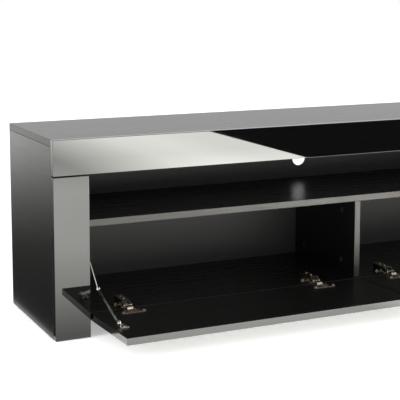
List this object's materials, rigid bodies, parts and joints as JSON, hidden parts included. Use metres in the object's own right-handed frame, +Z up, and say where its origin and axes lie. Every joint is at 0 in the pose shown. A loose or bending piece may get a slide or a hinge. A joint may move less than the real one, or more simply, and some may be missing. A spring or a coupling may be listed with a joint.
{
  "type": "media cabinet",
  "caption": "Low wide gloss-black media cabinet: an open niche under a deep top rail, and drop-down flaps on concealed hinges and folding stays below, all between broad legs",
  "frame": {"origin": "on the floor, at the centre of the box around the cabinet with both flaps open", "axes": "+X to the cabinet's right seen from its front, along its length; +Y from the front to the back; +Z up"},
  "size_m": [1.6, 0.553, 0.45],
  "materials": {
    "gloss_front": "chipboard with a black high-gloss face",
    "black_laminate": "chipboard with black satin laminate, faint straight grain",
    "hardboard": "thin hardboard, black matt face",
    "beech": "turned beech",
    "nickel": "nickel-plated pressed steel",
    "screw_steel": "plated steel",
    "steel": "plated steel",
    "zinc": null,
    "black_plastic": "moulded plastic"
  },
  "bodies": {
    "carcass": {"top_panel": "black_laminate", "side_panel_left": "black_laminate", "side_panel_right": "black_laminate", "inner_upright_left": "black_laminate", "inner_upright_right": "black_laminate", "bottom_panel": "black_laminate", "middle_shelf": "black_laminate", "divider": "black_laminate", "back_panel": "hardboard", "front_rail": "gloss_front", "leg_front_left": "gloss_front", "leg_front_right": "gloss_front", "floor_glides": "black_plastic", "cam_locks": "zinc", "cam_bolts": "steel", "dowels": "beech", "left_hinge_arms": "nickel", "left_hinge_mounts": "nickel", "left_hinge_mount_screws": "screw_steel", "left_hinge_arm_screws": "screw_steel", "left_stay_wall_bracket": "nickel", "left_stay_wall_screws": "screw_steel", "right_hinge_arms": "nickel", "right_hinge_mounts": "nickel", "right_hinge_mount_screws": "screw_steel", "right_hinge_arm_screws": "screw_steel", "right_stay_wall_bracket": "nickel", "right_stay_wall_screws": "screw_steel"},
    "left_flap_body": {"left_flap": "gloss_front", "left_hinge_cups": "nickel", "left_hinge_cup_screws": "screw_steel", "left_stay_flap_bracket": "nickel", "left_stay_flap_screws": "screw_steel"},
    "left_links_body": {"left_hinge_links": "nickel"},
    "left_upper_bar_body": {"left_stay_upper_link": "nickel"},
    "left_lower_bar_body": {"left_stay_lower_link": "nickel"},
    "right_flap_body": {"right_flap": "gloss_front", "right_hinge_cups": "nickel", "right_hinge_cup_screws": "screw_steel", "right_stay_flap_bracket": "nickel", "right_stay_flap_screws": "screw_steel"},
    "right_links_body": {"right_hinge_links": "nickel"},
    "right_upper_bar_body": {"right_stay_upper_link": "nickel"},
    "right_lower_bar_body": {"right_stay_lower_link": "nickel"}
  },
  "joints": [
    {"name": "left_flap_hinge", "type": "hinge", "parent": "carcass", "child": "left_flap_body", "pos_m": [0, -0.05847, 0.043], "axis": [-1, 0, 0], "range_deg": [0, 88.3]},
    {"name": "left_hinge_link_pivot", "type": "hinge", "parent": "carcass", "child": "left_links_body", "pos_m": [0, -0.04397, 0.0585], "axis": [-1, 0, 0], "range_deg": [0, 66]},
    {"name": "left_stay_upper_pivot", "type": "hinge", "parent": "carcass", "child": "left_upper_bar_body", "pos_m": [0, 0.01653, 0.19], "axis": [1, 0, 0], "range_deg": [0, 68.49]},
    {"name": "left_stay_lower_pivot", "type": "hinge", "parent": "left_flap_body", "child": "left_lower_bar_body", "pos_m": [0, -0.18747, 0.066], "axis": [1, 0, 0], "range_deg": [0, 27.66]},
    {"name": "right_flap_hinge", "type": "hinge", "parent": "carcass", "child": "right_flap_body", "pos_m": [0, -0.05847, 0.043], "axis": [-1, 0, 0], "range_deg": [0, 88.3]},
    {"name": "right_hinge_link_pivot", "type": "hinge", "parent": "carcass", "child": "right_links_body", "pos_m": [0, -0.04397, 0.0585], "axis": [-1, 0, 0], "range_deg": [0, 66]},
    {"name": "right_stay_upper_pivot", "type": "hinge", "parent": "carcass", "child": "right_upper_bar_body", "pos_m": [0, 0.01653, 0.19], "axis": [1, 0, 0], "range_deg": [0, 68.49]},
    {"name": "right_stay_lower_pivot", "type": "hinge", "parent": "right_flap_body", "child": "right_lower_bar_body", "pos_m": [0, -0.18747, 0.066], "axis": [1, 0, 0], "range_deg": [0, 27.66]}
  ],
  "couplings": [
    {"joint": "left_hinge_link_pivot", "follows": "left_flap_hinge", "ratio": 0.74745},
    {"joint": "left_stay_upper_pivot", "follows": "left_flap_hinge", "ratio": 0.7757},
    {"joint": "left_stay_lower_pivot", "follows": "left_flap_hinge", "ratio": 0.3132},
    {"joint": "right_hinge_link_pivot", "follows": "right_flap_hinge", "ratio": 0.74745},
    {"joint": "right_stay_upper_pivot", "follows": "right_flap_hinge", "ratio": 0.7757},
    {"joint": "right_stay_lower_pivot", "follows": "right_flap_hinge", "ratio": 0.3132}
  ]
}
